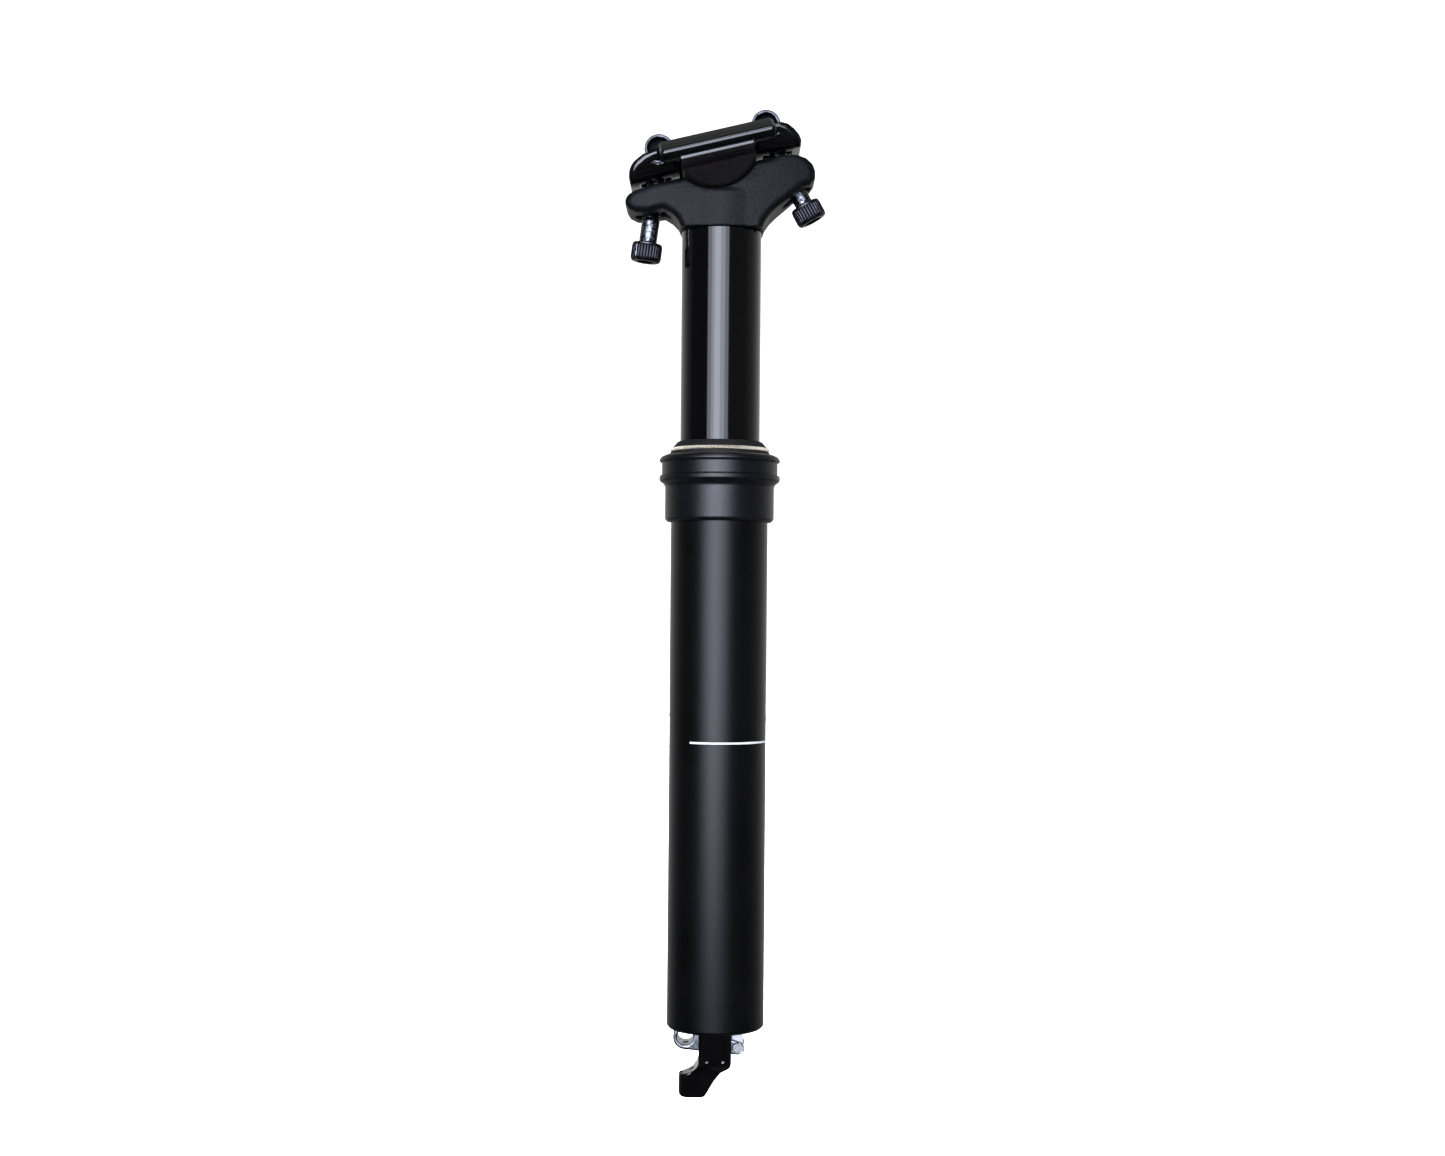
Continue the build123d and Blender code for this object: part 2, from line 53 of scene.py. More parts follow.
# A cable-operated height-adjustable seatpost. Pieces are built in millimetres and scaled to metres
# as they are made. +Z runs up the post, +X to the rear of the bicycle, +Y to its left side.
MM = 0.001
JOINTS = {joint["name"]: joint for joint in frame["joints"]}
MOUNTS = {mount["name"]: mount for mount in frame["record"]["mounts"]}


def place_of(name):
    """Where a joint or a mount is, in millimetres."""
    entry = JOINTS.get(name) or MOUNTS[name]
    return np.array(entry["pos_m"]) / MM


def limits(node):
    """A CAD node's lowest and highest corners, in millimetres."""
    low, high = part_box(node)
    return np.array(low) / MM, np.array(high) / MM


# ------------------------------------------------------------------ sizes read from the frame
TUBE_R = MOUNTS["seat_tube_fit"]["dims"]["r_mm"]
TUBE_LOW = limits("outer_tube")[0][2]
TUBE_TOP = limits("outer_tube")[1][2]
STANCHION_R = limits("stanchion")[1][0]
STANCHION_LOW = limits("stanchion")[0][2]
HEAD_FOOT = limits("stanchion")[1][2]
FLANGE_R = limits("collar")[1][0]
COLLAR_TOP = limits("collar")[1][2]
WIPER_LOW = limits("dust_wiper")[0][2]
WIPER_TOP = limits("dust_wiper")[1][2]
HEAD_HALF = 12.0
RAIL_N = -5.5
SPIGOT_LOW = limits("head")[0][2]
TILT_CENTRE = place_of("clamp_tilt")
UP_CLAMP = Vector(JOINTS["clamp_open"]["axis"])
ALONG_CLAMP = Vector((UP_CLAMP.z, 0, -UP_CLAMP.x))
RAIL_R = MOUNTS["left_rail"]["dims"]["r_mm"]
RAIL_Y = MOUNTS["left_rail"]["pos_m"][1] / MM
EYE = place_of("cable_anchor")
EYE_BORE_R = MOUNTS["cable_anchor"]["dims"]["r_mm"]
PIVOT = place_of("release_lever")
HOUSING_R = MOUNTS["housing_stop"]["dims"]["r_mm"]
HOUSING_DEPTH = MOUNTS["housing_stop"]["dims"]["length_mm"]
BOSS_X = place_of("housing_stop")[0]
FOOT_LOW = limits("cable_bracket")[0][2]


def clamp_matrix():
    """From the clamp's own frame (along the rails, across, square to them) to the post's frame."""
    columns = (ALONG_CLAMP, Vector((0, 1, 0)), UP_CLAMP)
    turn = Matrix([[column[row] for column in columns] for row in range(3)]).to_4x4()
    return Matrix.Translation(Vector(TILT_CENTRE)) @ turn


def to_clamp(point):
    """A place in the post's frame, in the clamp's own frame."""
    return clamp_matrix().inverted() @ Vector(point)


# ------------------------------------------------------------------ solids as distance fields
def outline_field(u, v, corners):
    """Signed distance from (u, v) to a closed outline, negative inside."""
    nearest = np.full(np.shape(u), 1e9)
    inside = np.zeros(np.shape(u), bool)
    for (ax, ay), (bx, by) in zip(corners, corners[1:] + corners[:1]):
        ex, ey = bx - ax, by - ay
        px, py = u - ax, v - ay
        share = np.clip((px * ex + py * ey) / (ex * ex + ey * ey), 0, 1)
        nearest = np.minimum(nearest, (px - share * ex) ** 2 + (py - share * ey) ** 2)
        crosses = (ay > v) != (by > v)
        slope = ex / ey if ey else 0
        inside ^= crosses & (u < ax + (v - ay) * slope)
    return np.where(inside, -1, 1) * np.sqrt(nearest)


def slab(value, low, high):
    """Distance to the space between two parallel planes."""
    return np.abs(value - (low + high) / 2) - (high - low) / 2


def joined(a, b, fillet=0.0):
    """Both solids, with a fillet of that radius where they meet."""
    if not fillet:
        return np.minimum(a, b)
    near = np.hypot(np.maximum(fillet - a, 0), np.maximum(fillet - b, 0))
    return np.maximum(fillet, np.minimum(a, b)) - near


def common(a, b, edge=0.0):
    """What two solids share, with edges rounded to that radius."""
    if not edge:
        return np.maximum(a, b)
    near = np.hypot(np.maximum(edge + a, 0), np.maximum(edge + b, 0))
    return np.minimum(-edge, np.maximum(a, b)) + near


def cut(a, b, edge=0.0):
    """The first solid without the second."""
    return common(a, -b, edge)


def arc(centre, radius, start, end, count):
    """Points on an arc, in degrees."""
    turns = [radians(start + (end - start) * i / (count - 1)) for i in range(count)]
    return [(centre[0] + radius * cos(t), centre[1] + radius * sin(t)) for t in turns]


def crossing_cells(value, low, cell):
    """For each grid cell that the surface passes through, the mean of where it crosses the cell's edges."""
    shape = np.array(value.shape) - 1
    total = np.zeros((*shape, 3), np.float32)
    count = np.zeros(shape, np.float32)
    quads = []
    for axis in range(3):
        first = [slice(None)] * 3
        last = [slice(None)] * 3
        first[axis], last[axis] = slice(0, -1), slice(1, None)
        a, b = value[tuple(first)], value[tuple(last)]
        crossed = (a < 0) != (b < 0)
        where = np.argwhere(crossed)
        share = (a[crossed] / (a[crossed] - b[crossed]))[:, None]
        points = where + share * np.eye(3)[axis]
        others = [k for k in range(3) if k != axis]
        corners = []
        for step in ((-1, -1), (0, -1), (0, 0), (-1, 0)):
            cell_at = where.copy()
            cell_at[:, others[0]] += step[0]
            cell_at[:, others[1]] += step[1]
            np.add.at(total, tuple(cell_at.T), points)
            np.add.at(count, tuple(cell_at.T), 1)
            corners.append(np.ravel_multi_index(tuple(cell_at.T), shape))
        quad = np.stack(corners, 1)
        flip = (a[crossed] < 0) == (axis == 1)
        quad[flip] = quad[flip][:, ::-1]
        quads.append(quad)
    used = np.flatnonzero(count.ravel())
    place = total.reshape(-1, 3)[used] / count.ravel()[used][:, None] * cell + low
    index = np.full(count.size, -1)
    index[used] = np.arange(len(used))
    return place, index[np.concatenate(quads)]


def settled(place, field, cell):
    """Moves points onto the surface along the field's slope."""
    step = cell * 0.05
    for _ in range(3):
        x, y, z = place.T
        value = field(x, y, z)
        slope = np.stack([
            field(x + step, y, z) - field(x - step, y, z),
            field(x, y + step, z) - field(x, y - step, z),
            field(x, y, z + step) - field(x, y, z - step),
        ], 1) / (2 * step)
        size = np.maximum((slope ** 2).sum(1), 0.2)
        move = np.clip(value / size, -cell / 2, cell / 2)
        place = place - slope * move[:, None]
    return place


def piece_from(name, vertices, faces, matrix=None):
    """A mesh object from points in millimetres, smooth except at sharp edges."""
    mesh = bpy.data.meshes.new(name)
    mesh.from_pydata([tuple(v) for v in vertices], [], [tuple(f) for f in faces])
    mesh.transform(Matrix.Scale(MM, 4) @ (matrix or Matrix.Identity(4)))
    mesh.polygons.foreach_set("use_smooth", [True] * len(mesh.polygons))
    mesh.set_sharp_from_angle(angle=radians(38))
    mesh.update()
    piece = bpy.data.objects.new(name, mesh)
    bpy.context.scene.collection.objects.link(piece)
    return piece


def carved(name, field, low, high, cell, matrix=None):
    """A closed mesh of the surface of a distance field."""
    low, high = np.array(low, float), np.array(high, float)
    axes = [np.arange(a - 2.1 * cell, b + 2.1 * cell, cell) for a, b in zip(low, high)]
    value = field(*np.meshgrid(*axes, indexing="ij"))
    place, quads = crossing_cells(value, low - 2.1 * cell, cell)
    return piece_from(name, settled(place, field, cell), quads, matrix)


# ------------------------------------------------------------------ turned pieces
def eased(points, radius, steps=4):
    """A closed outline with each corner rounded, by at most a third of its shorter side."""
    result = []
    for before, corner, after in zip(points[-1:] + points[:-1], points, points[1:] + points[:1]):
        before, corner, after = (np.array(p[:2], float) for p in (before, corner, after))
        reach = min(radius, np.linalg.norm(before - corner) / 3, np.linalg.norm(after - corner) / 3)
        start = corner + (before - corner) / np.linalg.norm(before - corner) * reach
        end = corner + (after - corner) / np.linalg.norm(after - corner) * reach
        for i in range(steps + 1):
            t = i / steps
            result.append(tuple(start * (1 - t) ** 2 + corner * 2 * t * (1 - t) + end * t * t))
    return result


def turned(name, rows, around=192, closed=True, matrix=None):
    """A piece turned about Z from (radius, height) rows. A row's radius may be one number per direction."""
    angles = np.arange(around) * 2 * pi / around
    points = []
    for radius, height in rows:
        ring = np.stack([radius * np.cos(angles), radius * np.sin(angles), height + 0 * angles], 1)
        points.append(ring)
    faces = []
    pairs = list(range(len(rows) - 1)) + ([-1] if closed else [])
    for row in pairs:
        low, high = (row % len(rows)) * around, ((row + 1) % len(rows)) * around
        for i in range(around):
            j = (i + 1) % around
            faces.append((low + i, low + j, high + j, high + i))
    if not closed:
        faces.append(tuple(range(around))[::-1])
        faces.append(tuple(range((len(rows) - 1) * around, len(rows) * around)))
    return piece_from(name, np.concatenate(points), faces, matrix)


def wound(name, path, wire_r, around=6):
    """Round wire along a closed path of points."""
    path = np.array(path)
    ahead = np.roll(path, -1, 0) - np.roll(path, 1, 0)
    ahead /= np.linalg.norm(ahead, axis=1)[:, None]
    side = np.cross(ahead, (0, 0, 1.0))
    side /= np.linalg.norm(side, axis=1)[:, None]
    up = np.cross(side, ahead)
    points = []
    for turn in np.arange(around) * 2 * pi / around:
        points.append(path + wire_r * (cos(turn) * side + sin(turn) * up))
    vertices = np.stack(points, 1).reshape(-1, 3)
    count = len(path)
    faces = []
    for i in range(count):
        for k in range(around):
            a, b = i * around + k, i * around + (k + 1) % around
            c, d = ((i + 1) % count) * around + (k + 1) % around, ((i + 1) % count) * around + k
            faces.append((d, c, b, a))
    return piece_from(name, vertices, faces)


# ------------------------------------------------------------------ materials
def colour(code):
    """An sRGB hex colour as linear RGBA."""
    parts = [int(code[i:i + 2], 16) / 255 for i in (1, 3, 5)]
    return [p / 12.92 if p <= 0.04045 else ((p + 0.055) / 1.055) ** 2.4 for p in parts] + [1.0]


def add(tree, kind, inputs=None, **settings):
    """A node with its settings, and its inputs set or linked."""
    node = tree.nodes.new(kind)
    for name, value in settings.items():
        setattr(node, name, value)
    for socket, source in (inputs or {}).items():
        if isinstance(source, bpy.types.NodeSocket):
            tree.links.new(source, node.inputs[socket])
        else:
            node.inputs[socket].default_value = source
    return node


def surface(name, **inputs):
    """A material with one Principled shader, its tree, and the object's coordinates in millimetres."""
    material = bpy.data.materials.new(name)
    material.use_nodes = True
    tree = material.node_tree
    shader = tree.nodes["Principled BSDF"]
    for socket, value in inputs.items():
        shader.inputs[socket.replace("_", " ")].default_value = value
    coordinates = add(tree, "ShaderNodeTexCoord")
    return material, tree, shader, scaled(tree, coordinates.outputs["Object"], (1 / MM,) * 3)


def scaled(tree, place, factors):
    """Coordinates times one factor per axis: a small factor draws a pattern out along that axis."""
    node = add(tree, "ShaderNodeVectorMath", {0: place, 1: factors}, operation="MULTIPLY")
    return node.outputs["Vector"]


def tinted(tree, shader, pattern, *stops):
    """Base colour along a pattern, from (place, hex colour) stops."""
    shades = ramp(tree, pattern, [(place, colour(code)) for place, code in stops])
    tree.links.new(shades, shader.inputs["Base Color"])


def ramp(tree, factor, stops):
    """Colours along a factor."""
    node = add(tree, "ShaderNodeValToRGB", {"Fac": factor})
    elements = node.color_ramp.elements
    while len(elements) < len(stops):
        elements.new(0.5)
    for element, (place, value) in zip(elements, stops):
        element.position, element.color = place, value
    return node.outputs["Color"]


def grain(tree, place, size_mm, detail=2.0):
    """Noise whose smallest lumps are about that many millimetres across."""
    inputs = {"Vector": place, "Scale": 1 / size_mm, "Detail": detail}
    return add(tree, "ShaderNodeTexNoise", inputs).outputs["Fac"]


def bump(tree, height, depth_mm, shader, strength=1.0):
    """Turns a pattern into relief of that depth."""
    node = add(tree, "ShaderNodeBump", {"Height": height, "Distance": depth_mm * MM, "Strength": strength})
    tree.links.new(node.outputs["Normal"], shader.inputs["Normal"])


def spread(tree, value, low, high):
    """Maps a 0 to 1 pattern onto a range."""
    return add(tree, "ShaderNodeMapRange", {"Value": value, "To Min": low, "To Max": high}).outputs["Result"]


def satin_anodised_tube():
    """Black anodised aluminium, blasted before dyeing: a broad soft sheen broken by a fine sparkle."""
    material, tree, shader, place = surface("satin_black_anodised_aluminium", Specular_IOR_Level=0.37)
    # Blasting grit leaves pits near 0.1 mm. They are drawn 0.3 mm wide so that they show.
    pits = grain(tree, place, 0.3)
    handling = grain(tree, place, 14.0, 4.0)
    tinted(tree, shader, handling, (0.3, "#030304"), (0.7, "#070709"))
    tree.links.new(spread(tree, pits, 0.26, 0.4), shader.inputs["Roughness"])
    bump(tree, pits, 0.02, shader)
    return material


def blasted_anodised(name, sheen, rough, dimple_mm, depth_mm):
    """Bead-blasted black anodised aluminium: matte, with dimples that catch the light one by one."""
    material, tree, shader, place = surface(name, Specular_IOR_Level=sheen)
    dimples = grain(tree, place, dimple_mm)
    patches = grain(tree, place, 6.0, 3.0)
    tinted(tree, shader, patches, (0.3, "#06070a"), (0.7, "#0b0c11"))
    tree.links.new(spread(tree, dimples, *rough), shader.inputs["Roughness"])
    bump(tree, dimples, depth_mm, shader)
    return material


def hard_coat():
    """Hard anodising polished after coating: deep gloss black with clean reflections and faint rub marks."""
    material, tree, shader, place = surface("polished_black_hard_anodising", IOR=1.6)
    shader.inputs["Base Color"].default_value = colour("#050506")
    # The seal draws marks along the slide about 0.4 mm apart.
    marks = grain(tree, scaled(tree, place, (1, 1, 0.02)), 0.4, 3.0)
    tree.links.new(spread(tree, marks, 0.06, 0.11), shader.inputs["Roughness"])
    bump(tree, marks, 0.0012, shader)
    return material


def gloss_anodised(name, rough):
    """Machined aluminium under bright black anodising: glossy, with flashing edges and faint tool marks."""
    material, tree, shader, place = surface(name, IOR=1.6, Specular_IOR_Level=0.6)
    marks = grain(tree, place, 0.5, 3.0)
    wear = grain(tree, place, 5.0, 4.0)
    tinted(tree, shader, wear, (0.35, "#040405"), (0.7, "#09090b"))
    tree.links.new(spread(tree, marks, *rough), shader.inputs["Roughness"])
    bump(tree, marks, 0.004, shader)
    return material


def cradle_anodised():
    """Machined aluminium under a thin warm grey anodising, with fine milling lines across the cradle."""
    material, tree, shader, place = surface("grey_anodised_milled_aluminium", Metallic=0.2)
    tinted(tree, shader, grain(tree, place, 4.0, 3.0), (0.3, "#131011"), (0.7, "#1a1717"))
    # A 6 mm end mill leaves lines about 0.25 mm apart.
    lines = grain(tree, scaled(tree, place, (1, 0.05, 1)), 0.25, 2.0)
    tree.links.new(spread(tree, lines, 0.42, 0.58), shader.inputs["Roughness"])
    bump(tree, lines, 0.006, shader)
    return material


def bare_metal(name, tint, rough, grit_mm, depth_mm, stretch=(1, 1, 1), dull=None, metal=1.0):
    """Uncoated metal with tool marks of the grit's width, and optional dull patches."""
    material, tree, shader, place = surface(name, Metallic=metal)
    marks = grain(tree, scaled(tree, place, stretch), grit_mm, 3.0)
    patches = grain(tree, place, grit_mm * 6, 4.0)
    tinted(tree, shader, patches, (0.35, dull or tint), (0.6, tint))
    tree.links.new(spread(tree, marks, *rough), shader.inputs["Roughness"])
    bump(tree, marks, depth_mm, shader)
    return material


def black_oxide():
    """Steel in black oxide: a thin dark skin, rubbed back to bright steel where edges stand proud."""
    material, tree, shader, place = surface("black_oxide_on_alloy_steel", Metallic=1.0)
    edges = add(tree, "ShaderNodeNewGeometry").outputs["Pointiness"]
    proud = add(tree, "ShaderNodeMapRange", {"Value": edges, "From Min": 0.52, "From Max": 0.62})
    scuffs = grain(tree, place, 0.6, 5.0)
    worn = add(tree, "ShaderNodeMath", {0: proud.outputs["Result"], 1: scuffs}, operation="MULTIPLY")
    tinted(tree, shader, worn.outputs["Value"], (0.1, "#393a3e"), (0.45, "#a9abb0"))
    tree.links.new(spread(tree, scuffs, 0.26, 0.5), shader.inputs["Roughness"])
    bump(tree, scuffs, 0.01, shader)
    return material


def rubbed_shank():
    """The bolt's plain shank, where the oxide has rubbed off in mottled silvery patches."""
    material, tree, shader, place = surface("rubbed_oxide_on_steel_shank", Metallic=1.0)
    mottle = grain(tree, place, 0.8, 6.0)
    tinted(tree, shader, mottle, (0.38, "#34363a"), (0.52, "#83878d"), (0.68, "#bfc3c9"))
    tree.links.new(spread(tree, mottle, 0.2, 0.45), shader.inputs["Roughness"])
    bump(tree, mottle, 0.012, shader)
    return material


def moulded(name, dark, light, rough=(0.5, 0.7), grain_mm=0.4, depth_mm=0.01):
    """A moulded rubber or polymer: dull, with a fine skin and slight patches."""
    material, tree, shader, place = surface(name, Specular_IOR_Level=0.4)
    skin = grain(tree, place, grain_mm)
    patches = grain(tree, place, grain_mm * 12, 3.0)
    tinted(tree, shader, patches, (0.3, dark), (0.7, light))
    tree.links.new(spread(tree, skin, *rough), shader.inputs["Roughness"])
    bump(tree, skin, depth_mm, shader)
    return material


def printed_line():
    """White pad-printed ink: flat white, with a slightly rough edge and fine specks."""
    material, tree, shader, place = surface("white_printed_ink", Roughness=0.6)
    specks = grain(tree, place, 0.25, 4.0)
    tinted(tree, shader, specks, (0.25, "#c9cacd"), (0.6, "#f0f1f2"))
    bump(tree, specks, 0.004, shader)
    return material


FINISHES = {
    "satin_black_anodised": satin_anodised_tube(),
    # Forged head, coarsely blasted: a sooty grain. The dimples are drawn 0.6 mm wide, three times
    # their real width, so that they show.
    "matte_black_anodised": blasted_anodised("coarse_blasted_black_forging", 0.2, (0.34, 0.6), 0.6, 0.16),
    "gloss_black_hard_coat": hard_coat(),
    "gloss_black_anodised": gloss_anodised("bright_black_anodised_clamp", (0.08, 0.18)),
    "matte_grey_cradle": cradle_anodised(),
    # Turned aluminium: bright, with rings of tool marks.
    "machined_aluminium": bare_metal("turned_aluminium", "#c8cacd", (0.22, 0.38), 0.3, 0.006, (0.2, 0.2, 1)),
    # Tumbled aluminium: pale silver, soft edged, faintly mottled.
    "satin_aluminium_lever": bare_metal(
        "tumbled_aluminium", "#94979b", (0.16, 0.32), 0.5, 0.006, dull="#63666b"),
    # Nitrile rubber: deep dull black with a moulded skin.
    "black_rubber": moulded("moulded_nitrile_rubber", "#0d0d0d", "#1a1a1a"),
    # Filled bearing polymer: brown-grey and waxy.
    "bushing_polymer": moulded("filled_bearing_polymer", "#4a4238", "#5c5348", (0.35, 0.5)),
    # Glass-filled nylon: grey-black with a fine moulded texture.
    "black_plastic": moulded("moulded_black_nylon", "#131314", "#1d1d1f", (0.4, 0.6)),
    # Zinc-plated spring wire: warm pale metal.
    "garter_spring_wire": bare_metal(
        "zinc_plated_spring_wire", "#fff6e2", (0.4, 0.55), 0.2, 0.002, dull="#efe2c2", metal=0.4),
    # Brass: warm yellow with drawn lines.
    "brass_keys": bare_metal(
        "drawn_brass", "#c9a45c", (0.22, 0.36), 0.3, 0.004, (1, 1, 0.1), dull="#a88645"),
    # Ground bearing steel: smooth and cool.
    "bearing_steel": bare_metal("ground_bearing_steel", "#c3c6ca", (0.1, 0.2), 0.2, 0.001, (1, 1, 0.1)),
    # Stainless steel: slightly warm grey, turned.
    "stainless_steel": bare_metal(
        "turned_stainless_steel", "#b4b4b2", (0.18, 0.34), 0.3, 0.004, (0.3, 0.3, 1)),
    # Socket screws in black oxide: dark, with bright rubbed edges.
    "black_oxide_steel": black_oxide(),
    # Turned steel under a thin oxide: dark silver with fine rings.
    "bright_nut_steel": bare_metal(
        "thinly_oxided_turned_steel", "#55575c", (0.2, 0.36), 0.25, 0.005, (1, 0.2, 1), dull="#3e4044"),
    # Hard chrome: mirror bright, with hardly any marks.
    "hard_chrome": bare_metal("ground_hard_chrome", "#d5d8dc", (0.06, 0.12), 0.2, 0.001),
}
RUBBED_SHANK = rubbed_shank()
# The bracket is polished before dyeing, so its flats stay black and only its edges flash.
POLISHED_BLACK = gloss_anodised("polished_black_anodised_bracket", (0.03, 0.08))
# Oxide left thick inside the nuts: sooty black.
THICK_OXIDE = bare_metal("thick_oxide_in_the_nuts", "#121315", (0.35, 0.5), 0.4, 0.004, dull="#0b0b0d")
# Turned collar, finely blasted: a smoother, brighter sheen than the head's.
FINE_BLASTED = blasted_anodised("fine_blasted_black_collar", 0.55, (0.27, 0.44), 0.45, 0.05)
PRINTED_LINE = printed_line()
NODE_SLOT = {part["node"]: part["material_slot"] for part in frame["record"]["subparts"]}


def finish_cad_nodes():
    """Every CAD piece gets its own finish."""
    for name, node in frame["nodes"].items():
        node.data.materials.clear()
        node.data.materials.append(FINISHES[NODE_SLOT[name]])


def fit(piece, body, node, slot=None):
    """Puts a detailed piece in place of a CAD node, on its body and in its finish."""
    slot = slot or NODE_SLOT[node]
    piece.data.materials.clear()
    piece.data.materials.append(FINISHES[slot])
    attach(piece, body)
    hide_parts(node)
    return piece


# ------------------------------------------------------------------ tube, collar and stanchion
def seat_tube():
    """The outer tube, with its threaded neck's bore, its open mouth and a rounded foot."""
    bore, mouth = 14.4, 14.7
    foot = arc((TUBE_R - 1.2, TUBE_LOW + 1.2), 1.2, 0, -90, 9)
    outline = [(bore, TUBE_TOP), (15.2, TUBE_TOP), (15.2, 0), (TUBE_R, 0)] + foot
    outline += [(mouth + 0.3, TUBE_LOW), (mouth, TUBE_LOW + 0.3)]
    outline += [(mouth, TUBE_LOW + 4.2), (bore, TUBE_LOW + 4.2)]
    return fit(turned("seat_tube", outline[::-1]), "outer", "outer_tube")


def insertion_line():
    """The line for the least insertion: ink 0.65 mm wide round the tube, but not over its whole front."""
    low, high, ink_r = -71.5, -70.85, TUBE_R + 0.02
    turns = np.radians(np.linspace(-124, 124, 160))
    points = []
    for radius, height in ((TUBE_R - 0.05, low), (ink_r, low), (ink_r, high), (TUBE_R - 0.05, high)):
        points.append(np.stack([radius * np.cos(turns), radius * np.sin(turns), height + 0 * turns], 1))
    count = len(turns)
    faces = []
    for row in range(4):
        a, b = row * count, (row + 1) % 4 * count
        faces += [(a + i, a + i + 1, b + i + 1, b + i) for i in range(count - 1)]
    faces += [(0, count, 2 * count, 3 * count), tuple(count - 1 + row * count for row in (3, 2, 1, 0))]
    line = piece_from("insertion_line", np.concatenate(points), faces)
    line.data.materials.append(PRINTED_LINE)
    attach(line, "outer")


def collar():
    """The threaded collar: a plain sleeve, a cove, and two flanges with a band between them."""
    sleeve_r, band_r, pocket_r = 17.8, 18.9, 16.0
    outline = [
        (15.2, 0.7), (TUBE_R + 0.1, 0), (sleeve_r - 0.9, 0), (sleeve_r, 0.9), (sleeve_r, 11.4),
        (sleeve_r + 0.5, 12.4), (FLANGE_R - 0.4, 13.1), (FLANGE_R, 13.6), (FLANGE_R, 14.8),
        (FLANGE_R - 0.4, 15.2),
        (band_r, 15.3), (band_r, 19.3), (FLANGE_R - 0.4, 19.4), (FLANGE_R, 19.8), (FLANGE_R, 20.4),
        (FLANGE_R - 0.6, 21.2), (17.6, 21.9), (16.7, COLLAR_TOP), (pocket_r, COLLAR_TOP), (pocket_r, 12.0),
        (13.8, 12.0), (13.8, 11.0), (15.2, 11.0),
    ]
    piece = fit(turned("collar_ring", eased(outline, 0.45)), "outer", "collar")
    piece.data.materials[0] = FINE_BLASTED
    return piece


def dust_wiper():
    """The rubber wiper: a shoulder on the collar, a groove for its spring, and a lip on the stanchion."""
    lip_r, groove_r, groove_z = STANCHION_R + 0.05, 15.35, 23.55
    outline = [
        (lip_r + 0.6, WIPER_LOW), (15.95, WIPER_LOW), (15.95, COLLAR_TOP), (16.4, COLLAR_TOP + 0.1),
        (16.2, 22.75), (15.8, 23.0), (groove_r, groove_z - 0.3), (groove_r, groove_z + 0.3), (15.6, 24.1),
        (15.2, 24.6), (13.9, WIPER_TOP - 0.2), (lip_r + 0.25, WIPER_TOP), (lip_r, WIPER_TOP - 0.4),
        (lip_r, 25.0), (lip_r + 0.6, 24.0),
    ]
    return fit(turned("dust_wiper", eased(outline, 0.35)), "outer", "dust_wiper")


def garter_spring():
    """The wiper's closed coil spring. Its turns are drawn at twice the real pitch, so that they show."""
    ring_r, height, coil_r, wire_r, pitch, steps = 15.62, 23.55, 0.42, 0.19, 0.6, 9
    turns = round(2 * pi * ring_r / pitch)
    way = np.arange(turns * steps) / (turns * steps) * 2 * pi
    out = ring_r + coil_r * np.cos(way * turns)
    path = np.stack([out * np.cos(way), out * np.sin(way), height + coil_r * np.sin(way * turns)], 1)
    return fit(wound("garter_spring", path, wire_r), "outer", "wiper_garter_spring")


def stanchion():
    """The sliding tube, ground and polished, with a small chamfer where the head begins."""
    bore = 11.0
    outline = [
        (bore, STANCHION_LOW), (STANCHION_R - 0.4, STANCHION_LOW), (STANCHION_R, STANCHION_LOW + 0.4),
        (STANCHION_R, HEAD_FOOT - 0.35), (STANCHION_R - 0.35, HEAD_FOOT), (bore, HEAD_FOOT),
    ]
    return fit(turned("stanchion", outline, 256), "post", "stanchion")


# ------------------------------------------------------------------ head and clamp
def head_side_view():
    """Outline of the head: an ear to each side of the neck, under a flat top."""
    def at(s, n):
        place = clamp_matrix() @ Vector((s, 0, n))
        return place.x, place.z
    front_under = [at(-22.5, -17.1), at(-26.0, -17.2), at(-29.6, -16.2)]
    front_nose = [at(-31.6, -14.6), at(-32.3, -12.8), at(-31.9, -11.3), at(-30.6, -10.1), at(-28.4, -9.4)]
    front_nose += [at(-22.0, -8.95)]
    rear_nose = [at(22.0, -8.95), at(25.5, -9.6), at(28.2, -11.2), at(29.8, -13.4), at(30.2, -15.7)]
    rear_nose += [at(29.6, -18.2), at(27.8, -19.7)]
    rear_under = [at(25.5, -19.9), (17.6, 101.4)]
    rear_neck = [(15.6, 99.4), (14.0, 97.0), (13.2, 94.6), (STANCHION_R, 93.0)]
    front_neck = [(-STANCHION_R, 93.0), (-13.25, 95.0), (-14.3, 97.4), (-16.2, 99.4), (-18.8, 100.9)]
    return front_neck + front_under + front_nose + rear_nose + rear_under + rear_neck


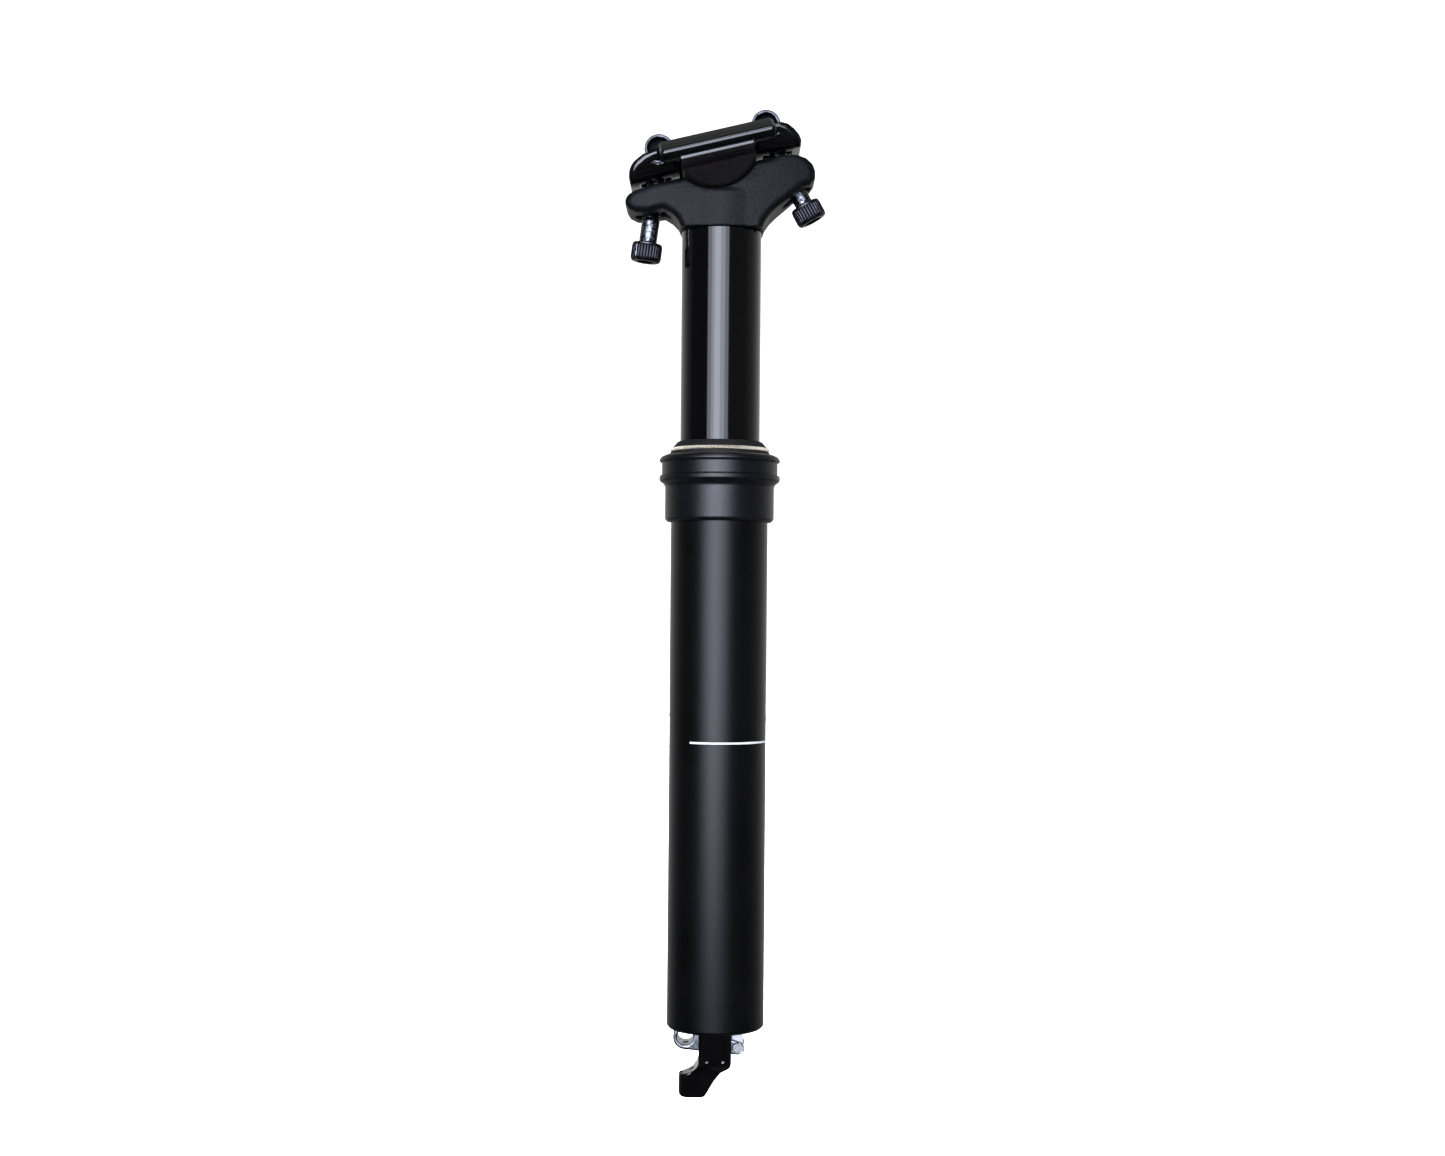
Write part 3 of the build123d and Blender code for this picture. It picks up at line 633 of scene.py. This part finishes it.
def head_field(x, y, z):
    """A plate rounded along its edges, run into a round neck, with the rocker's seat and two bolt slots."""
    seat_r, slot_r, spigot_r, bore_r, edge = 15.1, 3.6, 10.9, 6.5, 2.2
    neck_top, spigot_top, bore_top = 106, 98, 112
    # The ears thin towards their ends, the rear one more.
    half = HEAD_HALF + 0.7 - np.where(x > 0, 3.6, 1.8) * (x / 30) ** 2
    body = common(outline_field(x, z, head_side_view()), np.abs(y) - half, edge)
    neck = common(np.hypot(x, y) - STANCHION_R, slab(z, HEAD_FOOT - 2, neck_top), 0.3)
    body = joined(body, neck, 2.0)
    body = common(body, HEAD_FOOT + 0.05 - z, 0.25)
    body = joined(body, common(np.hypot(x, y) - spigot_r, slab(z, SPIGOT_LOW, spigot_top)))
    body = cut(body, np.hypot(x - TILT_CENTRE[0], z - TILT_CENTRE[2]) - seat_r, 0.5)
    body = cut(body, common(np.hypot(x, y) - bore_r, slab(z, SPIGOT_LOW - 2, bore_top)), 0.2)
    shift_x, shift_z = x - TILT_CENTRE[0], z - TILT_CENTRE[2]
    along = shift_x * ALONG_CLAMP.x + shift_z * ALONG_CLAMP.z
    for low, high in ((-26.2, -22.2), (21.0, 24.5)):
        slot = np.hypot(np.maximum(slab(along, low, high), 0), y) - slot_r
        body = cut(body, slot, 0.6)
    return body


def head():
    low, high = limits("head")
    return fit(carved("head", head_field, low, high, 0.42), "post", "head")


def rail_grooves(s, y, n):
    """The space of both saddle rails."""
    bars = [np.hypot(y - side * RAIL_Y, n - RAIL_N) - RAIL_R for side in (-1, 1)]
    return np.minimum(*bars)


def cradle_field(s, y, n):
    """The lower clamp: a rocker between its rail grooves, its sides drawn in towards the seat."""
    rocker_r, half_length = 14.95, 12
    rocker = common(np.hypot(s, n) - rocker_r, slab(s, -half_length, half_length), 0.4)
    half = [(26.5, RAIL_N), (26.5, -6.9), (25.2, -7.5), (13.5, -15.4)]
    section = half + [(-across, height) for across, height in reversed(half)]
    body = common(rocker, outline_field(y, n, section), 0.35)
    body = cut(body, rail_grooves(s, y, n), 0.3)
    window = common(slab(s, -6.5, 6.5), slab(y, -8, 8))
    return cut(body, window, 0.5)


def cradle():
    matrix = clamp_matrix()
    piece = carved("cradle", cradle_field, (-12, -26.5, -15.2), (12, 26.5, -5.5), 0.35, matrix)
    fit(piece, "cradle", "lower_clamp")
    piece.data.materials.append(FINISHES["gloss_black_anodised"])
    for face in piece.data.polygons:
        face.material_index = int(abs(face.center.y) > 25.9 * MM and abs(face.normal.y) > 0.6)
    return piece


def bolt_line(side):
    """The bolt's nut centre and its axis in the clamp's frame, as (s, n) pairs."""
    name = "front" if side < 0 else "rear"
    centre = to_clamp(place_of(f"{name}_nut_swing"))
    axis = Vector(JOINTS[f"{name}_bolt_screw"]["axis"])
    return (centre.x, centre.z), (axis.dot(ALONG_CLAMP), axis.dot(UP_CLAMP))


def upper_clamp_field(s, y, n):
    """The upper clamp: a spine with a hooded nose over each bolt, and a wing over each rail."""
    spine_view = [
        (-29.4, -6.9), (-29.3, -4.6), (-28.7, -2.7), (-27.7, -1.3), (-26.5, -0.3), (-23.1, 1.3),
        (-19.0, 2.2), (-14.0, 2.4), (18.5, 2.4), (22.4, 1.7), (24.8, 0.4), (26.4, -1.4), (27.6, -3.4),
        (28.0, -5.2), (27.4, -7.0), (12.8, -6.4), (12.8, -3.0), (-12.8, -3.0), (-12.8, -6.4),
    ]
    # The hoods draw in towards their lower edge, and are hollow underneath.
    taper = np.abs(y) - (12.5 - 0.4 * np.clip(0.5 - n, 0, 8))
    outline = outline_field(s, n, spine_view)
    spine = common(outline, taper, 2.2)
    hollow = common(common(outline + 1.7, taper + 1.6), common(19.3 - np.abs(s), n + 2.2))
    spine = cut(spine, hollow, 0.3)
    half_wing = [
        (25.8, -5.0), (26.2, -4.3), (26.45, -3.7), (26.5, -3.3), (26.4, -3.0), (26.2, -2.7), (25.8, -2.35),
        (22.5, -0.2), (19.5, 1.6), (17.0, 1.9), (13.5, 1.5), (11.0, 0.4),
    ]
    wing_view = half_wing + [(-across, height) for across, height in reversed(half_wing)]
    wing_view += [(-17.5, -5.0), (-16.5, -3.0), (16.5, -3.0), (17.5, -5.0)]
    wings = common(outline_field(y, n, wing_view), slab(s, -18, 19.5), 1.5)
    body = joined(spine, wings, 1.2)
    body = cut(body, rail_grooves(s, y, n), 0.3)
    window = common(slab(s, -8, 8), slab(y, -9, 9))
    body = cut(body, window, 0.8)
    for side in (-1, 1):
        (nut_s, nut_n), (up_s, up_n) = bolt_line(side)
        nut_seat = common(np.hypot(s - nut_s, n - nut_n) - 4.78, slab(y, -11.3, 11.3))
        body = cut(body, nut_seat, 0.25)
        off = (s - nut_s) * up_n - (n - nut_n) * up_s
        down = (s - nut_s) * up_s + (n - nut_n) * up_n
        way = common(common(slab(off, -4.6, 4.6), slab(y, -3.4, 3.4)), slab(down, -14, 0))
        body = cut(body, way, 0.4)
    return body


def upper_clamp():
    field_box = (-29.4, -26.5, -7.0), (28.1, 26.5, 3.0)
    piece = carved("upper_clamp", upper_clamp_field, *field_box, 0.34, clamp_matrix())
    return fit(piece, "upper_clamp", "upper_clamp")


# ------------------------------------------------------------------ barrel nuts and bolts
def bolt_matrix(end):
    """From a bolt's own frame, up its axis from the nut's centre, to the post's frame."""
    up = Vector(JOINTS[f"{end}_bolt_screw"]["axis"])
    across = Vector((0, 1, 0)).cross(up)
    turn = Matrix([[column[row] for column in (across, Vector((0, 1, 0)), up)] for row in range(3)]).to_4x4()
    return Matrix.Translation(Vector(place_of(f"{end}_nut_swing"))) @ turn


def barrel_nut_field(x, y, z):
    """A round bar across the clamp, hollow at both ends, with the bolt's hole through its middle."""
    nut_r, half, wall, recess, hole_r = 4.7, 11.0, 0.95, 4.6, 2.98
    body = common(np.hypot(x, z) - nut_r, slab(y, -half, half), 0.35)
    hollow = common(np.hypot(x, z) - (nut_r - wall), (half - recess) - np.abs(y))
    body = cut(body, hollow, 0.15)
    return cut(body, np.hypot(x, y) - hole_r, 0.3)


def barrel_nut(end):
    name = f"{end}_barrel_nut"
    piece = carved(name, barrel_nut_field, (-4.7, -11, -4.7), (4.7, 11, 4.7), 0.3, bolt_matrix(end))
    fit(piece, f"{end}_nut", name)
    piece.data.materials[0] = THICK_OXIDE
    piece.data.materials.append(FINISHES["bright_nut_steel"])
    for face in piece.data.polygons:
        centre, normal = face.center / MM, face.normal
        face.material_index = int(abs(normal.y) > 0.5 and abs(centre.y) > 10.5)
    return piece


def hexagon(flat, angles):
    """Distance from the middle to a hexagon's side, with its corners just rounded."""
    within = (angles + pi / 6) % (pi / 3) - pi / 6
    return np.minimum(flat / np.cos(within), flat * 1.13)


def clamp_bolt(end, reach, plain):
    """An M6 socket cap screw: knurled head, socket, plain shank of the given length, then 1 mm thread."""
    length, head_h, head_r, shank_r, around = 30.0, 6.0, 5.0, 2.9, 216
    teeth, tooth = 36, 0.2
    angles = np.arange(around) * 2 * pi / around
    low, seat = -reach - head_h, -reach
    hollow = hexagon(2.5, angles)
    knurl = head_r - tooth * np.abs(np.sin(angles * teeth / 2)) ** 0.7
    mouth = [(hollow, low + 3.2), (hollow, low + 0.35), (hollow + 0.3, low), (head_r - 1.0, low)]
    rim = [(head_r - 0.55, low + 0.12), (head_r - 0.2, low + 0.45), (head_r - 0.05, low + 0.8)]
    neck_r = head_r - 0.22
    side = [(neck_r, low + 0.95), (knurl, low + 1.1), (knurl, seat - 1.05), (neck_r, seat - 0.9)]
    top = [(head_r - 0.06, seat - 0.75), (head_r - 0.1, seat - 0.3), (head_r - 0.4, seat)]
    top += [(shank_r + 0.35, seat)]
    shank = [(shank_r + 0.05, seat + 0.3), (shank_r, seat + 0.6), (shank_r, seat + plain)]
    rows = mouth + rim + side + top + shank
    step = 0.14
    start, tip = seat + plain + 0.2, seat + length
    for height in np.arange(start, tip - 0.3, step):
        run = (height - angles / (2 * pi)) % 1.0
        depth = np.clip(1.6 * np.abs(run - 0.5) * 2 - 0.3, 0, 1)
        fade = min(1, (height - start) / 0.8)
        rows.append((2.95 - 0.48 * depth * fade, height))
    rows += [(2.6, tip - 0.25), (2.3, tip)]
    piece = turned(f"{end}_bolt", rows, around, False, bolt_matrix(end))
    fit(piece, f"{end}_bolt", f"{end}_bolt")
    piece.data.materials.append(RUBBED_SHANK)
    shank_row = len(mouth + rim + side + top)
    first, last = (shank_row - 1) * around, (shank_row + 4) * around
    for face in piece.data.polygons:
        if len(face.vertices) == 4 and min(face.vertices) >= first and max(face.vertices) < last:
            face.material_index = 1
    return piece


# ------------------------------------------------------------------ bracket and lever at the foot
def bracket_side_view():
    """Outline of the bracket: plates beside the lever, and an arm that hooks forward to the housing stop."""
    foot = TUBE_LOW
    hook = [(-11.7, foot - 14.9), (-10.4, foot - 14.9), (-8.7, foot - 14.4), (-7.2, foot - 13.6)]
    hook += [(-6.0, foot - 12.3)]
    plate = [(-5.3, foot - 10.6), (-5.3, foot + 2.7), (5.3, foot + 2.7), (5.3, foot - 10.4)]
    back = [(5.1, foot - 11.6), (4.3, foot - 12.8), (1.9, foot - 14.3), (-0.2, foot - 16.9)]
    back += [(-1.9, foot - 19.8), (-2.7, FOOT_LOW + 1.2), (-3.3, FOOT_LOW + 0.4), (-4.3, FOOT_LOW)]
    base = [(-10.6, FOOT_LOW), (-11.5, FOOT_LOW + 0.4), (-11.95, FOOT_LOW + 1.4), (-11.95, foot - 15.4)]
    return hook + plate + back + base


def bracket_field(x, y, z):
    """The bracket, with its flange under the cap, the lever's slot and the housing's bore."""
    foot, plate_in, plate_out, boss_r, plate_half = TUBE_LOW, 5.9, 7.6, 4.35, 5.3
    body = common(outline_field(x, z, bracket_side_view()), np.abs(y) - plate_out, 0.7)
    waist = np.abs(y) - np.clip(boss_r + (z - (foot - 14.2)) * 1.083, boss_r, plate_out)
    body = common(body, waist, 0.4)
    nose = np.minimum(np.hypot(x - BOSS_X, y) - boss_r, BOSS_X - x)
    body = common(body, np.minimum(nose, slab(x, -plate_half, 30)), 0.4)
    slot = common(np.abs(y) - plate_in, foot - 10.6 - z)
    body = cut(body, slot, 0.4)
    flange = slab(z, foot + 2.7, foot + 4.2)
    ring = common(common(np.hypot(x, y) - 13.9, 10.8 - np.hypot(x, y)), flange, 0.15)
    tabs = common(common(np.abs(x) - plate_half, slab(np.abs(y), plate_in, 12.5)), flange, 0.15)
    body = joined(body, np.minimum(ring, tabs), 0.3)
    body = cut(body, np.hypot(x, np.abs(y) - 11.0) - 1.5)
    pocket = common(np.abs(x) - 2.75, slab(z, foot - 10.0, foot - 1.0))
    pocket = common(pocket, (plate_out - 0.3) - np.abs(y))
    body = cut(body, pocket, 0.1)
    bore = common(np.hypot(x - BOSS_X, y) - HOUSING_R, z - (FOOT_LOW + HOUSING_DEPTH))
    body = cut(body, np.minimum(bore, np.hypot(x - BOSS_X, y) - 1.0), 0.2)
    return cut(body, common(np.abs(y) - 0.9, x - BOSS_X), 0.2)


def cable_bracket():
    low, high = limits("cable_bracket")
    piece = fit(carved("foot_bracket", bracket_field, low, high, 0.3), "outer", "cable_bracket")
    piece.data.materials[0] = POLISHED_BLACK
    return piece


def capsule(x, z, start, end, start_r, end_r):
    """Distance to a bar whose ends are round, each to its own radius."""
    ax, az = end[0] - start[0], end[1] - start[1]
    share = np.clip(((x - start[0]) * ax + (z - start[1]) * az) / (ax * ax + az * az), 0, 1)
    off = np.hypot(x - start[0] - share * ax, z - start[1] - share * az)
    return off - (start_r + (end_r - start_r) * share)


def lever_field(x, y, z):
    """Two cheeks from the pivot to the cable's eye, with a bridge over the valve rod."""
    eye, pivot = (EYE[0], EYE[2]), (PIVOT[0], PIVOT[2])
    cheek_in, cheek_out = 4.0, 5.2
    bar = capsule(x, z, eye, pivot, 3.98, 2.08)
    body = common(bar, np.abs(y) - cheek_out, 0.4)
    gap = common(np.abs(y) - cheek_in, -5.2 - x)
    body = cut(body, gap, 0.25)
    bridge = common(common(np.abs(x) - 2.2, np.abs(y) - 4.2), slab(z, TUBE_LOW - 5.6, TUBE_LOW - 3.4), 0.2)
    body = joined(body, bridge, 0.2)
    body = cut(body, np.hypot(x - eye[0], z - eye[1]) - EYE_BORE_R, 0.35)
    body = cut(body, np.hypot(x - pivot[0], z - pivot[1]) - 1.6, 0.1)
    body = cut(body, common(np.hypot(x, y) - 2.0, np.abs(z - TUBE_LOW) - 10), 0.1)
    way = common(np.abs(y) - 0.9, common(x - eye[0] - 0.9, z - eye[1]))
    return cut(body, way, 0.15)


def release_lever():
    low, high = limits("release_lever")
    return fit(carved("release_lever", lever_field, low, high, 0.26), "lever", "release_lever")


# ------------------------------------------------------------------ studio
CAMERA_DISTANCE = 0.642
CAMERA_HEIGHT = -0.0283
CAMERA_PITCH = radians(0.904)
CAMERA_ROLL = radians(0.48)
FLOOR_Z = FOOT_LOW * MM - 0.004


def camera():
    """Level with the tube's upper third, square to the post's right side, looking very slightly up."""
    data = bpy.data.cameras.new("camera")
    data.sensor_width, data.lens = 36.0, 48.93
    data.clip_start, data.clip_end = 0.05, 30
    eye = bpy.data.objects.new("camera", data)
    bpy.context.scene.collection.objects.link(eye)
    tilt = Matrix.Rotation(radians(90) + CAMERA_PITCH, 4, "X") @ Matrix.Rotation(CAMERA_ROLL, 4, "Z")
    eye.matrix_world = Matrix.Translation((0.0012, -CAMERA_DISTANCE, CAMERA_HEIGHT)) @ tilt
    bpy.context.scene.camera = eye


def glow(name, shade, strength):
    """Matte paint lit evenly enough to have no visible shadow."""
    material, tree, shader, place = surface(name, Roughness=1.0, Specular_IOR_Level=0.0)
    shader.inputs["Emission Strength"].default_value = strength
    tinted(tree, shader, grain(tree, place, 40.0, 3.0), (0.3, shade), (0.7, "#ffffff"))
    shader.inputs["Emission Color"].default_value = colour("#ffffff")
    return material


def stage_piece(name, rows, around, material):
    """A turned backdrop, in metres like everything else."""
    piece = turned(name, [(radius / MM, height / MM) for radius, height in rows], around, False)
    piece.data.materials.append(material)
    return piece


def studio_room():
    """A pale paper floor, and a white wall that only the camera sees."""
    paper = glow("white_paper_floor", "#f4f4f4", 0.75)
    floor = stage_piece("floor", [(4.0, FLOOR_Z - 0.01), (4.0, FLOOR_Z)], 96, paper)
    floor.visible_glossy = False
    dome = [(3.9, FLOOR_Z), (3.9, 2.0), (2.5, 3.4), (0.6, 3.9)]
    wall = stage_piece("wall", dome, 96, glow("white_wall", "#fafafa", 1.0))
    wall.visible_glossy = wall.visible_diffuse = wall.visible_shadow = wall.visible_transmission = False


def grey_ramp(tree, factor, *stops):
    """Linear grey levels along a factor."""
    return ramp(tree, factor, [(place, (level, level, level, 1.0)) for place, level in stops])


def surroundings():
    """What the post reflects: white paper behind, dark flags in front to the left, dim room to the right."""
    world = bpy.data.worlds.new("studio")
    world.use_nodes = True
    bpy.context.scene.world = world
    tree = world.node_tree
    ahead = add(tree, "ShaderNodeSeparateXYZ", {0: add(tree, "ShaderNodeTexCoord").outputs["Generated"]})

    def along(axis, low, high):
        inputs = {"Value": ahead.outputs[axis], "From Min": low, "From Max": high}
        return add(tree, "ShaderNodeMapRange", inputs).outputs["Result"]

    depth = along("Y", -1.0, 1.0)
    dim = [(0.0, 0.07), (0.35, 0.07), (0.5, 0.16), (0.64, 0.26), (0.85, 0.6), (1.0, 0.8)]
    dark = [(0.0, 0.015), (0.5, 0.03), (0.67, 0.2), (0.85, 0.55), (1.0, 0.8)]
    right = grey_ramp(tree, depth, *dim)
    left = grey_ramp(tree, depth, *dark)
    # Sockets 6 and 7 are the mix node's two colours, and its output 2 is their mix.
    mix = add(tree, "ShaderNodeMix", {0: along("X", -0.15, 0.15), 6: left, 7: right}, data_type="RGBA")
    # The room is bright at the post's own height, and falls off below and above it.
    rise = along("Z", -1.0, 1.0)
    level = grey_ramp(tree, rise, (0.0, 0.2), (0.36, 0.3), (0.45, 1.0), (0.57, 1.0), (0.8, 0.3))
    tree.links.new(mix.outputs[2], tree.nodes["Background"].inputs["Color"])
    tree.links.new(level, tree.nodes["Background"].inputs["Strength"])


def softbox(name, bearing, distance, height, width, tall, watts, aim):
    """An area lamp turned to the post at the aimed height. Bearing is degrees to the right of the front."""
    data = bpy.data.lights.new(name, "AREA")
    data.shape, data.size, data.size_y, data.energy = "RECTANGLE", width, tall, watts
    data.color = (0.8, 0.85, 1.0)
    lamp = bpy.data.objects.new(name, data)
    bpy.context.scene.collection.objects.link(lamp)
    place = Vector((distance * sin(radians(bearing)), -distance * cos(radians(bearing)), height))
    lamp.location = place
    lamp.rotation_euler = (Vector((0, 0, aim)) - place).to_track_quat("-Z", "Y").to_euler()
    return lamp


def lights():
    """One tall softbox, brightest along its middle, and a small one overhead for the upper edges."""
    tall, height = 1.13, 0.235
    softbox("edge_softbox", -8, 1.25, height, 1.44, tall, 16.0, height)
    softbox("middle_softbox", -8, 1.20, height, 0.83, tall, 7.6, height)
    softbox("core_softbox", -10.0, 1.15, height, 0.34, tall, 3.1, height)
    softbox("top_softbox", -6, 0.55, 1.05, 0.6, 0.3, 3.6, 0.1)


camera()
studio_room()
surroundings()
lights()
finish_cad_nodes()
seat_tube()
insertion_line()
collar()
dust_wiper()
garter_spring()
stanchion()
head()
cradle()
upper_clamp()
for end, reach in (("front", 29.2), ("rear", 27.3)):
    barrel_nut(end)
    clamp_bolt(end, reach, 7.0)
cable_bracket()
release_lever()
bpy.context.scene.view_settings.view_transform = "Standard"
